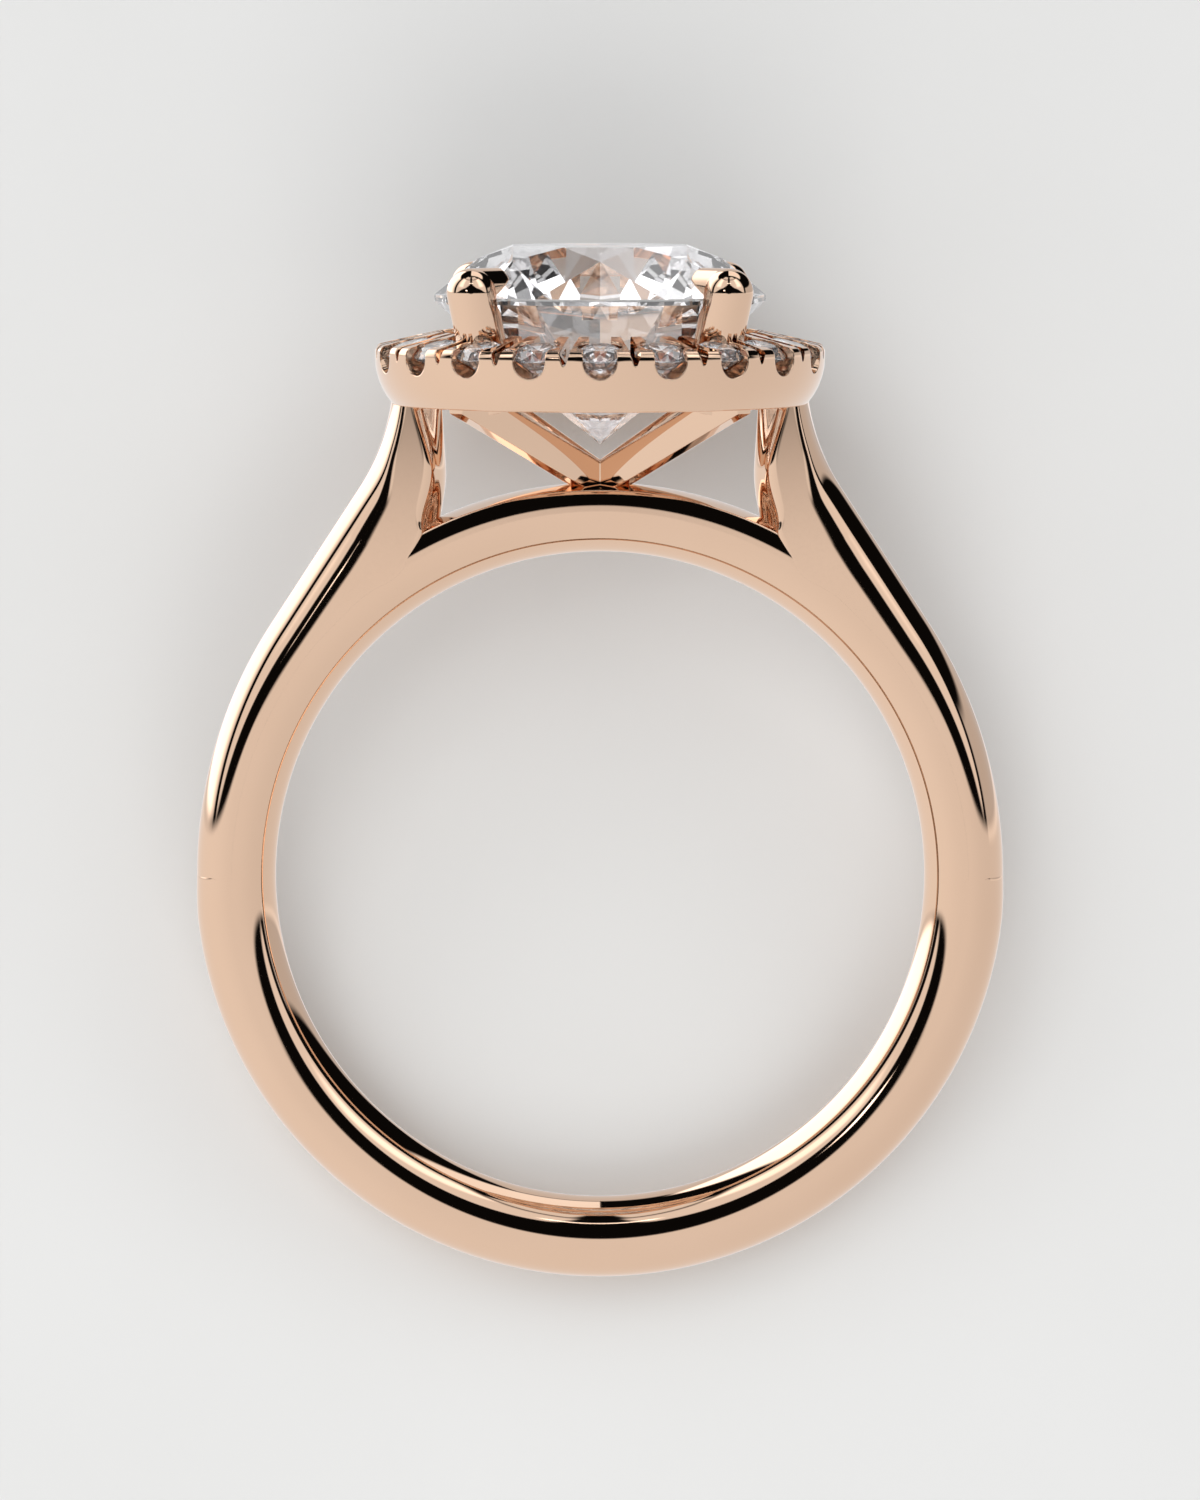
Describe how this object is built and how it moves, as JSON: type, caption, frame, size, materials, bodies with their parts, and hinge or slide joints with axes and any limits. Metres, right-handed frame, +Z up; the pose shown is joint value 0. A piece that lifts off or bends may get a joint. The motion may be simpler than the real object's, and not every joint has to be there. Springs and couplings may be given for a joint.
{
  "type": "halo ring",
  "caption": "Rose gold ring: round brilliant in claws inside a halo of small stones, cathedral shoulders and a plain round band.",
  "frame": {"origin": "middle of the finger hole", "axes": "+Z up as the ring lies on its side, +Y towards the head and the far end of the band, the longest way, +X across the ring"},
  "size_m": [0.0206, 0.0263, 0.0113],
  "materials": {
    "rose_gold": "polished",
    "diamond": "cut and polished"
  },
  "bodies": {
    "root": {"ring_mount": "rose_gold", "centre_stone": "diamond", "halo_stone_01": "diamond", "halo_stone_02": "diamond", "halo_stone_03": "diamond", "halo_stone_04": "diamond", "halo_stone_05": "diamond", "halo_stone_06": "diamond", "halo_stone_07": "diamond", "halo_stone_08": "diamond", "halo_stone_09": "diamond", "halo_stone_10": "diamond", "halo_stone_11": "diamond", "halo_stone_12": "diamond", "halo_stone_13": "diamond", "halo_stone_14": "diamond", "halo_stone_15": "diamond", "halo_stone_16": "diamond", "halo_stone_17": "diamond", "halo_stone_18": "diamond", "halo_stone_19": "diamond", "halo_stone_20": "diamond"}
  },
  "joints": []
}
